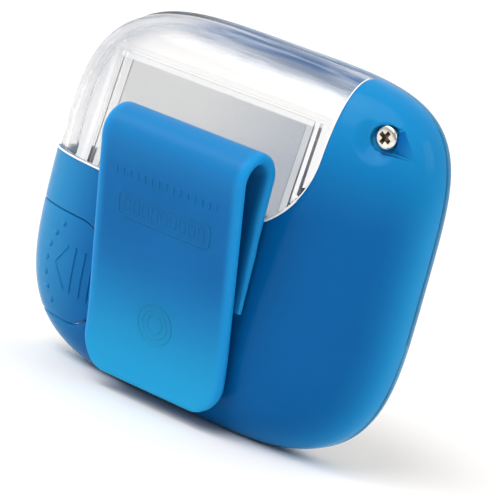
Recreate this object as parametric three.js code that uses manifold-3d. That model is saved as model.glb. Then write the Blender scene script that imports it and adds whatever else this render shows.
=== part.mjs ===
// A clip-on pocket pedometer: a pillow-shaped body, clear at the top and blue below, with a see-through
// display, three front buttons, a sliding battery door and a belt clip moulded as one folded strip.
//
// Millimetres, as worn: +Z up, front face in the plane y = 0 facing -Y, belt clip on the +Y side.
// The origin is the middle of the flat front face.
import * as THREE from "three";
import { mergeVertices } from "three/addons/utils/BufferGeometryUtils.js";
import Module from "manifold-3d";

const wasm = await Module();
wasm.setup();

// ---- driving dimensions -------------------------------------------------------------------------

const GAP = 0.3; // clearance between pieces that touch
const FAR = 80; // half size of a cutting block that reaches past everything

const body = {
  width: 68,
  topHeight: 28.8, // from the middle up
  bottomHeight: 29.35, // from the middle down, before the edge is flattened
  standFlat: 0.8, // how far the bottom edge is flattened so that the body can stand
  partingY: 6, // where the front shell meets the rear pieces
  rearRise: 11, // height of the crown above the parting plane
  frontRise: 7.2, // the front crown is cut off at y = 0 to leave a flat face
  clearCornerPower: 3.7, // outline powers, one a corner: higher is squarer
  hornCornerPower: 4.4,
  bottomPower: 3.6,
  crownPower: 2.8, // the same, from the rim to the crown
  frontPower: 2.5,
  wall: 1.6,
  rings: 11, // facets from the rim to the crown
  around: 64, // facets round the outline
};

const cover = {
  edgeZ: 2.3, // the level top edge of the blue cover
  hornX: -17.7, // the upright inner edge of the horn
  cornerRadius: 13.6,
  proud: 0.4, // the cover stands this much outside the clear pieces
};

const windowWall = 2.2;

const door = {
  innerX: 14,
  topZ: -6,
  bottomZ: -22.7,
  cornerRadius: 7,
  wall: 1.4,
};

const clip = {
  centreX: 0.7,
  width: 26.6,
  thickness: 1.75,
  rootY: 17.6, // face of the root leaf that lies against the body
  rootBottomZ: -9,
  rootBottomThickness: 0.5,
  rootTaperZ: 6, // the root leaf thins below this height
  rootTopZ: 10.6, // where the fold starts
  foldRadius: 4.3, // outside radius of the fold
  leafTilt: THREE.MathUtils.degToRad(15.3),
  leafBottomZ: -26.2,
  flareZ: -15, // the leaf bends outwards below this height, to let a belt in
  flare: 1.1,
  flareSteps: 4,
  tipRadius: 5.5,
  foldSteps: 10,
  tenonWidth: 16,
  tenonTopZ: -2,
  tenonBottomZ: -6.5,
};

const display = {
  centreX: 7.1,
  topZ: 19.6,
  rearY: 9.7, // rear face of the rear glass at its top edge
  tilt: THREE.MathUtils.degToRad(6.25),
  width: 36.8,
  frontGlassHeight: 23,
  ledge: 3, // how much further down the rear glass reaches, for its contacts
  glass: 0.9,
  film: 0.25,
  filmInset: 0.9,
  frameWall: 0.8,
  frameGap: 0.4,
};

const chips = {
  blobRadius: 4,
  blobHeight: 1.3,
  blobX: 4,
  blobZ: -12,
  crystalRadius: 0.95,
  crystalLength: 5.6,
  crystalX: 5,
  crystalZ: -17.8,
  capacitorX: 8.6,
  capacitorZ: -9,
  capacitorLength: 2,
  capacitorWidth: 1.2,
  capacitorHeight: 0.9,
};

const zebra = {
  height: 1.6,
  leftInset: 2,
  rightInset: 1,
  squeeze: 0.1, // extra room in front of the tilted glass
};

const keys = {
  topMargin: 0.4,
  bottomMargin: -0.6,
  cornerRadius: 2,
};

const boardScrew = {
  headRadius: 1.4,
  headThickness: 0.9,
  shankRadius: 0.6,
  bossRadius: 1.7,
  shankOverlap: 0.1,
};

const board = {
  frontY: 5.9,
  thickness: 1.0,
  topZ: -3.2,
  bottomZ: -23,
  leftX: -27,
  rightX: 12,
  cornerRadius: 3,
  screwInset: 3,
  screwDrop: 1.8, // left screw, from the top edge
  screwRise: 2.2, // right screw, from the bottom edge
};

const buttons = {
  names: ["mode_button", "set_button", "reset_button"],
  pitch: 10.5,
  z: -13.4,
  radius: 3.1,
  flangeRadius: 3.9,
  flangeThickness: 0.8,
  recess: 0.2, // below the front face, so that the body lies flat on it
  travel: 0.8,
  clearance: 0.3,
};

const fascia = {
  thickness: 0.8,
  inset: 2.0,
};

const cell = {
  radius: 5.8,
  thickness: 5.4,
  x: 21.8,
  z: -14.2,
  frontY: 5.7,
  capInset: 0.9, // the negative cap is this much smaller than the can
  capHeight: 1.1,
  capSink: 0.5, // how far the cap is sunk below the can's rear face
};

const tray = {
  wall: 0.9,
  floor: 0.8,
  clearance: 0.35,
  rimBelowCell: 1, // the cell stands this much out of the tray
  slotWidth: 3.6,
  slotRise: 1, // the slot for the side contact starts this much behind the cell's front
};

const contact = {
  thickness: 0.5,
  springLength: 8,
  springWidth: 2.6,
  sideWidth: 2.8,
  sideThickness: 0.4,
  sideFoot: 2.2,
  sideRise: 1.3, // from the cell's front face
  sideBelowCell: 0.8,
};

const screw = {
  headRadius: 1.8,
  headThickness: 1.3,
  shankRadius: 0.9,
  seatWall: 1.4, // material left under the head
  bossRadius: 2.3,
  pocketClearance: 0.35,
  crossWidth: 0.5,
  crossDepth: 0.7,
  crossReach: 0.62, // share of the head's radius
  domeRise: 0.5,
  pillarWall: 0.9, // wall of the pillar round the head's pocket
  shankOverlap: 0.2,
};

// The fan-shaped hollow beside the horn screw: two corners measured from the screw, and its slope.
const relief = {
  tilt: THREE.MathUtils.degToRad(24),
  startX: 0.6,
  lowX: -5.4,
  lowZ: -2.4,
  highX: -2.6,
  highZ: 2.6,
  step: 0.2, // how far behind the screw's seat the slope starts
};

const hornScrew = { x: -25.1, z: 21.5, headY: 11.4, tipY: 3.2 };
const clipScrew = { x: 0, z: -20.5, headY: 12.6, tipY: 3.2 };

const pendulum = {
  pivotX: -6.5,
  pivotZ: -12.9,
  rearY: 11.9, // rear face of the frame's back plate
  frameDepth: 4.6,
  frameWall: 0.8,
  frameWidth: 20,
  frameHeight: 12,
  armLength: 12,
  armWidth: 2.4,
  armThickness: 0.8,
  weightRadius: 3.0,
  weightThickness: 1.9,
  pinRadius: 0.6,
  pinClearance: 0.08,
  hubRadius: 1.7,
  hubStep: 0.8, // how far the hub stands out of the arm
  pivotInset: 2.6, // from the frame's outer side to the pivot
  cornerRadius: 2,
  armBehind: 1.2, // room between the arm and the frame's back plate
  pinSink: 0.6, // the pin stops this much inside the frame's front
  stopWidth: 3,
  stopHeight: 0.6,
};

const coil = {
  reach: 0.5,
  turns: 4,
  turnSteps: 8,
  wireRadius: 0.18,
  fromPivot: 5,
  topDrop: 0.8, // below the frame's upper wall
  bottomDrop: 0.4, // below the pivot
  tail: 1, // straight wire at each end
  stand: 0.3, // extra room in front of the arm
};

// ---- making and joining solids ------------------------------------------------------------------

// A closed three.js geometry as a solid.
function solid(geometry) {
  const bare = geometry.index ? geometry.toNonIndexed() : geometry.clone();
  bare.deleteAttribute("normal");
  bare.deleteAttribute("uv");
  const merged = mergeVertices(bare, 1e-4);
  const mesh = new wasm.Mesh({
    numProp: 3,
    vertProperties: new Float32Array(merged.attributes.position.array),
    triVerts: new Uint32Array(merged.index.array),
  });
  return new wasm.Manifold(mesh);
}

function geometryOf(piece) {
  const mesh = piece.getMesh();
  const geometry = new THREE.BufferGeometry();
  geometry.setAttribute("position", new THREE.BufferAttribute(mesh.vertProperties, 3));
  geometry.setIndex(new THREE.BufferAttribute(mesh.triVerts, 1));
  geometry.computeVertexNormals();
  return geometry;
}

// A block between two corners.
function block(x0, x1, y0, y1, z0, z1) {
  const geometry = new THREE.BoxGeometry(x1 - x0, y1 - y0, z1 - z0);
  return solid(geometry.translate((x0 + x1) / 2, (y0 + y1) / 2, (z0 + z1) / 2));
}

// A round bar along Y.
function roundY(radius, x, z, y0, y1, sides = 28) {
  const geometry = new THREE.CylinderGeometry(radius, radius, y1 - y0, sides);
  return solid(geometry.translate(x, (y0 + y1) / 2, z));
}

// A shape drawn in x and z, filled between two depths.
function prismY(shape, y0, y1, curveSegments = 8) {
  const options = { depth: y1 - y0, bevelEnabled: false, curveSegments };
  const geometry = new THREE.ExtrudeGeometry(shape, options);
  return solid(geometry.rotateX(Math.PI / 2).translate(0, y1, 0));
}

// A shape drawn in y and z, filled between two widths.
function prismX(shape, x0, x1, curveSegments = 8) {
  const options = { depth: x1 - x0, bevelEnabled: false, curveSegments };
  const geometry = new THREE.ExtrudeGeometry(shape, options);
  const turn = new THREE.Matrix4().makeBasis(
    new THREE.Vector3(0, 1, 0),
    new THREE.Vector3(0, 0, 1),
    new THREE.Vector3(1, 0, 0),
  );
  return solid(geometry.applyMatrix4(turn).translate(x0, 0, 0));
}

function roundedRect(x0, x1, z0, z1, radius) {
  const shape = new THREE.Shape();
  shape.moveTo(x0 + radius, z0);
  shape.lineTo(x1 - radius, z0);
  shape.absarc(x1 - radius, z0 + radius, radius, -Math.PI / 2, 0);
  shape.lineTo(x1, z1 - radius);
  shape.absarc(x1 - radius, z1 - radius, radius, 0, Math.PI / 2);
  shape.lineTo(x0 + radius, z1);
  shape.absarc(x0 + radius, z1 - radius, radius, Math.PI / 2, Math.PI);
  shape.lineTo(x0, z0 + radius);
  shape.absarc(x0 + radius, z0 + radius, radius, Math.PI, 1.5 * Math.PI);
  return shape;
}

// ---- the pillow body ----------------------------------------------------------------------------

const signedPower = (value, power) => Math.sign(value) * Math.pow(Math.abs(value), power);

const halfHeight = (z) => (z > 0 ? body.topHeight : body.bottomHeight);

function cornerPower(x, z) {
  if (z <= 0) return body.bottomPower;
  return x > 0 ? body.clearCornerPower : body.hornCornerPower;
}

// The body's outer form moved inwards by inset: a sphere whose equator is squared into the outline
// and whose poles are squared into a crown at the back and a flat at the front.
function pillow(inset) {
  const halfWidth = body.width / 2 - inset;
  const geometry = new THREE.SphereGeometry(1, body.around, 2 * body.rings);
  const position = geometry.attributes.position;
  const point = new THREE.Vector3();
  for (let i = 0; i < position.count; i++) {
    point.fromBufferAttribute(position, i);
    const radial = Math.hypot(point.x, point.z);
    const angle = Math.atan2(point.z, point.x);
    const power = 2 / cornerPower(point.x, point.z);
    const behind = point.y > 0;
    const crown = 2 / (behind ? body.crownPower : body.frontPower);
    const reach = Math.pow(radial, crown);
    const rise = (behind ? body.rearRise : body.frontRise) - inset;
    position.setXYZ(
      i,
      halfWidth * reach * signedPower(Math.cos(angle), power),
      body.partingY + rise * signedPower(point.y, crown),
      (halfHeight(point.z) - inset) * reach * signedPower(Math.sin(angle), power),
    );
  }
  const standing = block(-FAR, FAR, inset, FAR, body.standFlat - body.bottomHeight + inset, FAR);
  return solid(geometry).intersect(standing);
}

// Height of the crown's surface over a point, so that pieces can be set into it.
function crownY(x, z, inset = 0) {
  const power = cornerPower(x, z);
  const reach =
    Math.pow(Math.abs(x) / (body.width / 2 - inset), power) +
    Math.pow(Math.abs(z) / (halfHeight(z) - inset), power);
  const left = 1 - Math.pow(reach, body.crownPower / power);
  return body.partingY + (body.rearRise - inset) * Math.pow(left, 1 / body.crownPower);
}

const behindParting = (gap) => block(-FAR, FAR, body.partingY + gap / 2, FAR, -FAR, FAR);
const beforeParting = (gap) => block(-FAR, FAR, -FAR, body.partingY - gap / 2, -FAR, FAR);

// The part of the plan that the blue cover takes: everything below its level edge, and the horn.
function coverPlan(growth) {
  const edgeZ = cover.edgeZ + growth;
  const hornX = cover.hornX + growth;
  const radius = cover.cornerRadius - growth;
  const plan = new THREE.Shape();
  plan.moveTo(-FAR, -FAR);
  plan.lineTo(FAR, -FAR);
  plan.lineTo(FAR, edgeZ);
  plan.lineTo(hornX + radius, edgeZ);
  plan.absarc(hornX + radius, edgeZ + radius, radius, -Math.PI / 2, -Math.PI, true);
  plan.lineTo(hornX, FAR);
  plan.lineTo(-FAR, FAR);
  return plan;
}

function doorPlan(growth) {
  const radius = door.cornerRadius + growth;
  const innerX = door.innerX - growth;
  const topZ = door.topZ + growth;
  const bottomZ = door.bottomZ - growth;
  const plan = new THREE.Shape();
  plan.moveTo(FAR, bottomZ);
  plan.lineTo(FAR, topZ);
  plan.lineTo(innerX + radius, topZ);
  plan.absarc(innerX + radius, topZ - radius, radius, Math.PI / 2, Math.PI);
  plan.lineTo(innerX, bottomZ + radius);
  plan.absarc(innerX + radius, bottomZ + radius, radius, Math.PI, 1.5 * Math.PI);
  return plan;
}

const outerForm = pillow(0);
const clearForm = pillow(cover.proud);
const innerForm = pillow(body.wall);
const windowInside = pillow(cover.proud + windowWall);
const doorInside = pillow(door.wall);

const clipX0 = clip.centreX - clip.width / 2;
const clipX1 = clip.centreX + clip.width / 2;

const screws = [hornScrew, clipScrew];
const screwPocket = screw.headRadius + screw.pocketClearance;

// The front shell: a clear dish over the whole front, with the screw bosses and the button holes.
function frontShell() {
  let shell = outerForm.intersect(beforeParting(GAP)).subtract(innerForm);
  const bossRoom = pillow(body.wall + GAP).add(beforeParting(GAP));
  for (const place of screws) {
    const top = place.headY - screw.seatWall - GAP;
    const boss = roundY(screw.bossRadius, place.x, place.z, body.wall / 2, top).intersect(bossRoom);
    const hole = roundY(screw.shankRadius + GAP, place.x, place.z, place.tipY - GAP, FAR, 16);
    shell = shell.add(boss).subtract(hole);
  }
  for (const place of boardScrews) {
    const boss = roundY(boardScrew.bossRadius, place.x, place.z, body.wall / 2, board.frontY - GAP, 20);
    const hole = roundY(boardScrew.shankRadius + GAP, place.x, place.z, body.wall + GAP, FAR, 12);
    shell = shell.add(boss).subtract(hole);
  }
  for (const x of buttonPlaces()) {
    shell = shell.subtract(roundY(buttons.radius + buttons.clearance, x, buttons.z, -FAR, FAR));
  }
  return shell;
}

// The rear window: the clear upper part of the back, with its thick rim.
function rearWindow() {
  return clearForm
    .intersect(behindParting(GAP))
    .subtract(windowInside)
    .subtract(prismY(coverPlan(GAP), -FAR, FAR, 10))
    .subtract(displayPocket());
}

// The room that the display frame needs inside the rim of the rear window.
function displayPocket() {
  const half = display.width / 2 + display.frameGap + display.frameWall + GAP;
  const high = display.frameGap + display.frameWall + GAP;
  const deep = 2 * display.glass + 3 * GAP;
  const pocket = new THREE.BoxGeometry(2 * half, deep + GAP, FAR);
  pocket.translate(0, 2 * GAP - (deep + GAP) / 2, high - FAR / 2);
  pocket.rotateX(display.tilt).translate(display.centreX, display.rearY, display.topZ);
  return solid(pocket);
}

// Solid pads that the cover grows inwards and outwards where something is fixed to it.
function coverPads() {
  const padTop = cover.edgeZ - 2 * GAP;
  const padFront = crownY(0, 0) - body.wall;
  let pads = block(clipX0, clipX1, padFront, clip.rootY - GAP, clip.rootBottomZ, padTop);
  for (const place of screws) {
    const floor = place.headY - screw.seatWall;
    const pillarRadius = screwPocket + screw.pillarWall;
    const pillar = roundY(pillarRadius, place.x, place.z, floor, crownY(place.x, place.z));
    pads = pads.add(pillar.intersect(outerForm));
  }
  return pads;
}

function rearCover() {
  let shell = outerForm.intersect(behindParting(GAP)).subtract(innerForm);
  shell = shell.intersect(prismY(coverPlan(0), -FAR, FAR, 10));
  shell = shell.add(coverPads());
  shell = shell.subtract(prismY(doorPlan(0), body.partingY + body.wall, FAR));
  for (const place of screws) {
    shell = shell.subtract(roundY(screwPocket, place.x, place.z, place.headY, FAR));
    shell = shell.subtract(roundY(screw.shankRadius + GAP, place.x, place.z, -FAR, FAR, 16));
  }
  return shell.subtract(tenon(GAP, tenonFront - GAP)).subtract(hornRelief());
}

function hornRelief() {
  const plan = new THREE.Shape();
  plan.moveTo(hornScrew.x + relief.startX, hornScrew.z - screwPocket);
  plan.lineTo(hornScrew.x + relief.lowX, hornScrew.z + relief.lowZ);
  plan.lineTo(hornScrew.x + relief.highX, hornScrew.z + relief.highZ);
  plan.lineTo(hornScrew.x, hornScrew.z + screwPocket);
  const fan = prismY(plan, hornScrew.headY, FAR);
  const above = new THREE.BoxGeometry(2 * FAR, 2 * FAR, 2 * FAR).translate(0, FAR, 0);
  above.rotateZ(relief.tilt);
  above.translate(hornScrew.x - screwPocket, hornScrew.headY + relief.step, 0);
  return fan.intersect(solid(above));
}

function batteryDoor() {
  const plan = prismY(doorPlan(-GAP), body.partingY + body.wall + GAP, FAR);
  return outerForm.subtract(doorInside).intersect(plan);
}

// ---- the belt clip ------------------------------------------------------------------------------

const fold = {
  y: clip.rootY + clip.foldRadius,
  z: clip.rootTopZ,
};

const tenonFront = crownY(0, 0) - body.wall - 2 * GAP;

// The tenon under the root leaf that locks into the cover.
function tenon(growth, fromY) {
  const halfWidth = clip.tenonWidth / 2 + growth;
  const x0 = clip.centreX - halfWidth;
  const x1 = clip.centreX + halfWidth;
  const toY = clip.rootY + clip.rootBottomThickness;
  return block(x0, x1, fromY, toY, clip.tenonBottomZ - growth, clip.tenonTopZ + growth);
}

function clipRoot() {
  const inner = clip.foldRadius - clip.thickness;
  const profile = new THREE.Shape();
  profile.moveTo(clip.rootY, clip.rootBottomZ);
  profile.lineTo(clip.rootY + clip.rootBottomThickness, clip.rootBottomZ);
  profile.lineTo(clip.rootY + clip.thickness, clip.rootTaperZ);
  profile.lineTo(clip.rootY + clip.thickness, fold.z);
  profile.absarc(fold.y, fold.z, inner, Math.PI, Math.PI / 2, true);
  profile.lineTo(fold.y, fold.z + clip.foldRadius);
  profile.absarc(fold.y, fold.z, clip.foldRadius, Math.PI / 2, Math.PI, false);
  const strip = prismX(profile, clipX0, clipX1, clip.foldSteps);
  return strip.add(tenon(0, tenonFront));
}

// The leaf's run below the fold: straight, then bending outwards to its tip. Each entry is a point on
// the fold's side of the leaf (radius is measured from the fold's centre line) and its height.
function leafSide(radius) {
  const slope = Math.tan(clip.leafTilt);
  const start = fold.y + radius / Math.cos(clip.leafTilt);
  const points = [];
  for (let i = 0; i <= clip.flareSteps; i++) {
    const share = i / clip.flareSteps;
    const z = THREE.MathUtils.lerp(clip.flareZ, clip.leafBottomZ, share);
    points.push(new THREE.Vector2(start - (fold.z - z) * slope + clip.flare * share * share, z));
  }
  return points;
}

function clipLeaf() {
  const inner = clip.foldRadius - clip.thickness;
  const end = -clip.leafTilt;
  const profile = new THREE.Shape();
  profile.moveTo(fold.y, fold.z + inner);
  profile.absarc(fold.y, fold.z, inner, Math.PI / 2, end, true);
  for (const point of leafSide(inner)) profile.lineTo(point.x, point.y);
  for (const point of leafSide(clip.foldRadius).reverse()) profile.lineTo(point.x, point.y);
  profile.absarc(fold.y, fold.z, clip.foldRadius, end, Math.PI / 2, false);
  const strip = prismX(profile, clipX0, clipX1, clip.foldSteps);
  const cut = block(-FAR, FAR, -FAR, fold.y + GAP, fold.z, FAR);
  const plan = roundedRect(clipX0, clipX1, clip.leafBottomZ - GAP, FAR, clip.tipRadius);
  return strip.subtract(cut).intersect(prismY(plan, -FAR, FAR));
}

// ---- display ------------------------------------------------------------------------------------

// Pieces of the display are drawn flat: y = 0 is the rear face of the rear glass, z = 0 its top edge.

const halfGlass = display.width / 2;
const rearGlassHeight = display.frontGlassHeight + display.ledge;
const frontGlassRear = -display.glass - GAP;
const frontGlassFront = frontGlassRear - display.glass;

function glassPlate(y0, y1, height) {
  return block(-halfGlass, halfGlass, y0, y1, -height, 0);
}

function filmPlate(y0, y1) {
  const half = halfGlass - display.filmInset;
  return block(-half, half, y0, y1, -display.frontGlassHeight + display.filmInset, -display.filmInset);
}

const displayPieces = {
  lcd_rear_glass: glassPlate(-display.glass, 0, rearGlassHeight),
  lcd_front_glass: glassPlate(frontGlassFront, frontGlassRear, display.frontGlassHeight),
  rear_polarizer: filmPlate(GAP, GAP + display.film),
  front_polarizer: filmPlate(frontGlassFront - GAP - display.film, frontGlassFront - GAP),
  lcd_frame: displayFrame(),
};

// A clear rim round the two glasses, open to the bottom where the contacts are.
function displayFrame() {
  const inside = halfGlass + display.frameGap;
  const outside = inside + display.frameWall;
  const top = display.frameGap + display.frameWall;
  const rim = block(-outside, outside, frontGlassFront - GAP, GAP, -display.frontGlassHeight, top);
  return rim.subtract(block(-inside, inside, -FAR, FAR, -FAR, display.frameGap));
}

// ---- board and what is on it --------------------------------------------------------------------

const boardRear = board.frontY + board.thickness;

const boardScrews = [
  { name: "board_screw_left", x: board.leftX + board.screwInset, z: board.topZ - board.screwDrop },
  { name: "board_screw_right", x: board.rightX - board.screwInset, z: board.bottomZ + board.screwRise },
];

function circuitBoard() {
  const plan = roundedRect(board.leftX, board.rightX, board.bottomZ, board.topZ, board.cornerRadius);
  let plate = prismY(plan, board.frontY, boardRear, 5);
  for (const place of boardScrews) {
    plate = plate.subtract(roundY(boardScrew.shankRadius + GAP, place.x, place.z, -FAR, FAR, 16));
  }
  const bossHole = roundY(screw.bossRadius + GAP, clipScrew.x, clipScrew.z, -FAR, FAR);
  return plate.subtract(bossHole);
}

function boardFixing(place) {
  const seat = boardRear + GAP;
  const head = roundY(boardScrew.headRadius, place.x, place.z, seat, seat + boardScrew.headThickness, 20);
  const shankTop = seat + boardScrew.shankOverlap;
  return head.add(roundY(boardScrew.shankRadius, place.x, place.z, body.wall + 2 * GAP, shankTop, 12));
}

const partSeat = boardRear + GAP;

function chipBlob() {
  const dome = new THREE.SphereGeometry(1, 24, 12);
  dome.scale(chips.blobRadius, chips.blobHeight, chips.blobRadius);
  dome.translate(chips.blobX, partSeat, chips.blobZ);
  return solid(dome).intersect(block(-FAR, FAR, partSeat, FAR, -FAR, FAR));
}

function crystalCan() {
  const straight = chips.crystalLength - 2 * chips.crystalRadius;
  const can = new THREE.CapsuleGeometry(chips.crystalRadius, straight, 4, 14);
  can.rotateZ(Math.PI / 2);
  return solid(can.translate(chips.crystalX, partSeat + chips.crystalRadius, chips.crystalZ));
}

function chipCapacitor() {
  const x = chips.capacitorX;
  const z = chips.capacitorZ;
  const long = chips.capacitorLength / 2;
  const wide = chips.capacitorWidth / 2;
  return block(x - long, x + long, partSeat, partSeat + chips.capacitorHeight, z - wide, z + wide);
}

// The rubber strip that carries the contacts from the board to the ledge of the rear glass.
function zebraStrip() {
  const runDown = display.frontGlassHeight + display.ledge / 2;
  const z = display.topZ - runDown * Math.cos(display.tilt);
  const glassFront = display.rearY + runDown * Math.sin(display.tilt) - display.glass;
  const half = zebra.height / 2;
  const left = display.centreX - halfGlass + zebra.leftInset;
  const right = board.rightX - zebra.rightInset;
  return block(left, right, partSeat, glassFront - GAP - zebra.squeeze, z - half, z + half);
}

// ---- buttons ------------------------------------------------------------------------------------

function buttonPlaces() {
  const first = -(buttons.names.length - 1) / 2;
  return buttons.names.map((name, i) => (first + i) * buttons.pitch);
}

const fasciaRear = body.wall + GAP + fascia.thickness;
const flangeFront = fasciaRear + GAP;
const flangeRear = flangeFront + buttons.flangeThickness;

function button(x) {
  const cap = roundY(buttons.radius, x, buttons.z, buttons.recess, flangeRear, 32);
  return cap.add(roundY(buttons.flangeRadius, x, buttons.z, flangeFront, flangeRear, 32));
}

function keypad() {
  const sheetFront = flangeRear + buttons.travel + GAP;
  const sheetRear = board.frontY - GAP;
  const half = buttons.pitch + buttons.flangeRadius;
  const high = buttons.z + buttons.flangeRadius + keys.topMargin;
  const low = buttons.z - buttons.flangeRadius - keys.bottomMargin;
  const plan = roundedRect(-half, half, low, high, keys.cornerRadius);
  return prismY(plan, sheetFront, sheetRear, 5);
}

function fasciaPlate() {
  const plate = pillow(fascia.inset)
    .intersect(block(-FAR, FAR, body.wall + GAP, fasciaRear, -FAR, FAR))
    .intersect(prismY(coverPlan(0), -FAR, FAR, 10));
  let drilled = plate;
  for (const x of buttonPlaces()) {
    drilled = drilled.subtract(roundY(buttons.radius + buttons.clearance, x, buttons.z, -FAR, FAR));
  }
  for (const place of screws) {
    drilled = drilled.subtract(roundY(screw.bossRadius + GAP, place.x, place.z, -FAR, FAR));
  }
  for (const place of boardScrews) {
    drilled = drilled.subtract(roundY(boardScrew.bossRadius + GAP, place.x, place.z, -FAR, FAR, 20));
  }
  return drilled;
}

// ---- battery ------------------------------------------------------------------------------------

const cellRear = cell.frontY + cell.thickness;
const contactFront = cell.frontY - GAP - contact.thickness;

function batteryTray() {
  const inside = cell.radius + tray.clearance;
  const outside = inside + tray.wall;
  const floorRear = contactFront - GAP;
  const cup = roundY(outside, cell.x, cell.z, floorRear - tray.floor, cellRear - tray.rimBelowCell, 40);
  const well = roundY(inside, cell.x, cell.z, floorRear, FAR, 40);
  const half = tray.slotWidth / 2;
  const slotFront = cell.frontY + tray.slotRise;
  const slot = block(cell.x - half, cell.x + half, slotFront, FAR, cell.z + inside - tray.wall, FAR);
  return cup.subtract(well).subtract(slot);
}

function coinCell() {
  const can = roundY(cell.radius, cell.x, cell.z, cell.frontY + cell.capHeight, cellRear, 48);
  const capRadius = cell.radius - cell.capInset;
  const cap = roundY(capRadius, cell.x, cell.z, cell.frontY, cellRear - cell.capSink, 48);
  return can.add(cap);
}

// The flat spring under the cell.
function springContact() {
  const long = contact.springLength / 2;
  const wide = contact.springWidth / 2;
  const rear = contactFront + contact.thickness;
  return block(cell.x - long, cell.x + long, contactFront, rear, cell.z - wide, cell.z + wide);
}

// The side contact, an angle that stands in the slot in the tray's wall.
function sideContact() {
  const z = cell.z + cell.radius + GAP;
  const x0 = cell.x - contact.sideWidth / 2;
  const x1 = cell.x + contact.sideWidth / 2;
  const front = cell.frontY + contact.sideRise;
  const leaf = contact.sideThickness;
  const upright = block(x0, x1, front, cellRear - contact.sideBelowCell, z, z + leaf);
  return upright.add(block(x0, x1, front, front + leaf, z, z + contact.sideFoot));
}

// ---- pendulum -----------------------------------------------------------------------------------

const pendulumFront = pendulum.rearY - pendulum.frameDepth;
const armY = pendulum.rearY - pendulum.frameWall - pendulum.armBehind;
const weightX = pendulum.pivotX - pendulum.armLength;
const weightRear = armY - pendulum.armThickness - GAP;

// An open tray that carries the swinging arm.
function pendulumFrame() {
  const x1 = pendulum.pivotX + pendulum.pivotInset;
  const x0 = x1 - pendulum.frameWidth;
  const z0 = pendulum.pivotZ - pendulum.frameHeight / 2;
  const z1 = pendulum.pivotZ + pendulum.frameHeight / 2;
  const w = pendulum.frameWall;
  const radius = pendulum.cornerRadius;
  const outer = roundedRect(x0, x1, z0, z1, radius);
  const inner = roundedRect(x0 + w, x1 - w, z0 + w, z1 - w, radius - w);
  const tub = prismY(outer, pendulumFront, pendulum.rearY, 4);
  const room = prismY(inner, -FAR, pendulum.rearY - w, 4);
  const pinHole = roundY(pendulum.pinRadius + GAP, pendulum.pivotX, pendulum.pivotZ, -FAR, FAR, 16);
  return tub.subtract(room).subtract(pinHole);
}

function pendulumPin() {
  const y0 = pendulumFront + pendulum.pinSink;
  return roundY(pendulum.pinRadius, pendulum.pivotX, pendulum.pivotZ, y0, pendulum.rearY, 16);
}

function pendulumArm() {
  const half = pendulum.armWidth / 2;
  const y0 = armY - pendulum.armThickness;
  const bar = block(weightX, pendulum.pivotX, y0, armY, pendulum.pivotZ - half, pendulum.pivotZ + half);
  const hubFront = y0 - pendulum.hubStep;
  const hub = roundY(pendulum.hubRadius, pendulum.pivotX, pendulum.pivotZ, hubFront, armY, 24);
  const bore = pendulum.pinRadius + pendulum.pinClearance;
  return bar.add(hub).subtract(roundY(bore, pendulum.pivotX, pendulum.pivotZ, -FAR, FAR, 16));
}

function pendulumWeight() {
  const front = weightRear - pendulum.weightThickness;
  return roundY(pendulum.weightRadius, weightX, pendulum.pivotZ, front, weightRear, 32);
}

// A coiled wire that holds the arm level, with a straight tail at each end.
function pendulumSpring() {
  const y = armY - pendulum.armThickness - GAP - coil.stand;
  const x = pendulum.pivotX - coil.fromPivot;
  const top = pendulum.pivotZ + pendulum.frameHeight / 2 - pendulum.frameWall - coil.topDrop;
  const bottom = pendulum.pivotZ - coil.bottomDrop;
  const steps = coil.turns * coil.turnSteps;
  const points = [new THREE.Vector3(x, y, top)];
  for (let i = 0; i <= steps; i++) {
    const angle = (i / coil.turnSteps) * 2 * Math.PI;
    const z = THREE.MathUtils.lerp(top - coil.tail, bottom + coil.tail, i / steps);
    const side = x + coil.reach * Math.sin(angle);
    points.push(new THREE.Vector3(side, y - coil.reach + coil.reach * Math.cos(angle), z));
  }
  points.push(new THREE.Vector3(x, y, bottom));
  const path = new THREE.CatmullRomCurve3(points);
  const wire = new THREE.Shape();
  wire.absarc(0, 0, coil.wireRadius, 0, 2 * Math.PI);
  const options = { steps: steps * 2, bevelEnabled: false, extrudePath: path, curveSegments: 3 };
  return solid(new THREE.ExtrudeGeometry(wire, options));
}

// The soft pad that the weight lands on.
function pendulumStop() {
  const z0 = pendulum.pivotZ - pendulum.frameHeight / 2 + pendulum.frameWall + GAP;
  const half = pendulum.stopWidth / 2;
  const front = weightRear - pendulum.weightThickness;
  return block(weightX - half, weightX + half, front, weightRear, z0, z0 + pendulum.stopHeight);
}

// ---- screws -------------------------------------------------------------------------------------

function panScrew(place) {
  const seat = place.headY + GAP;
  const top = seat + screw.headThickness;
  const domeFoot = top - screw.domeRise;
  const dome = new THREE.SphereGeometry(1, 32, 12);
  dome.scale(screw.headRadius, screw.domeRise, screw.headRadius);
  dome.translate(place.x, domeFoot, place.z);
  let head = roundY(screw.headRadius, place.x, place.z, seat, domeFoot, 32).add(solid(dome));
  const w = screw.crossWidth / 2;
  const arm = screw.headRadius * screw.crossReach;
  const y0 = top - screw.crossDepth;
  head = head.subtract(block(place.x - arm, place.x + arm, y0, FAR, place.z - w, place.z + w));
  head = head.subtract(block(place.x - w, place.x + w, y0, FAR, place.z - arm, place.z + arm));
  const shankTop = seat + screw.shankOverlap;
  return head.add(roundY(screw.shankRadius, place.x, place.z, place.tipY, shankTop, 16));
}

// ---- the assembly -------------------------------------------------------------------------------

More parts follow.
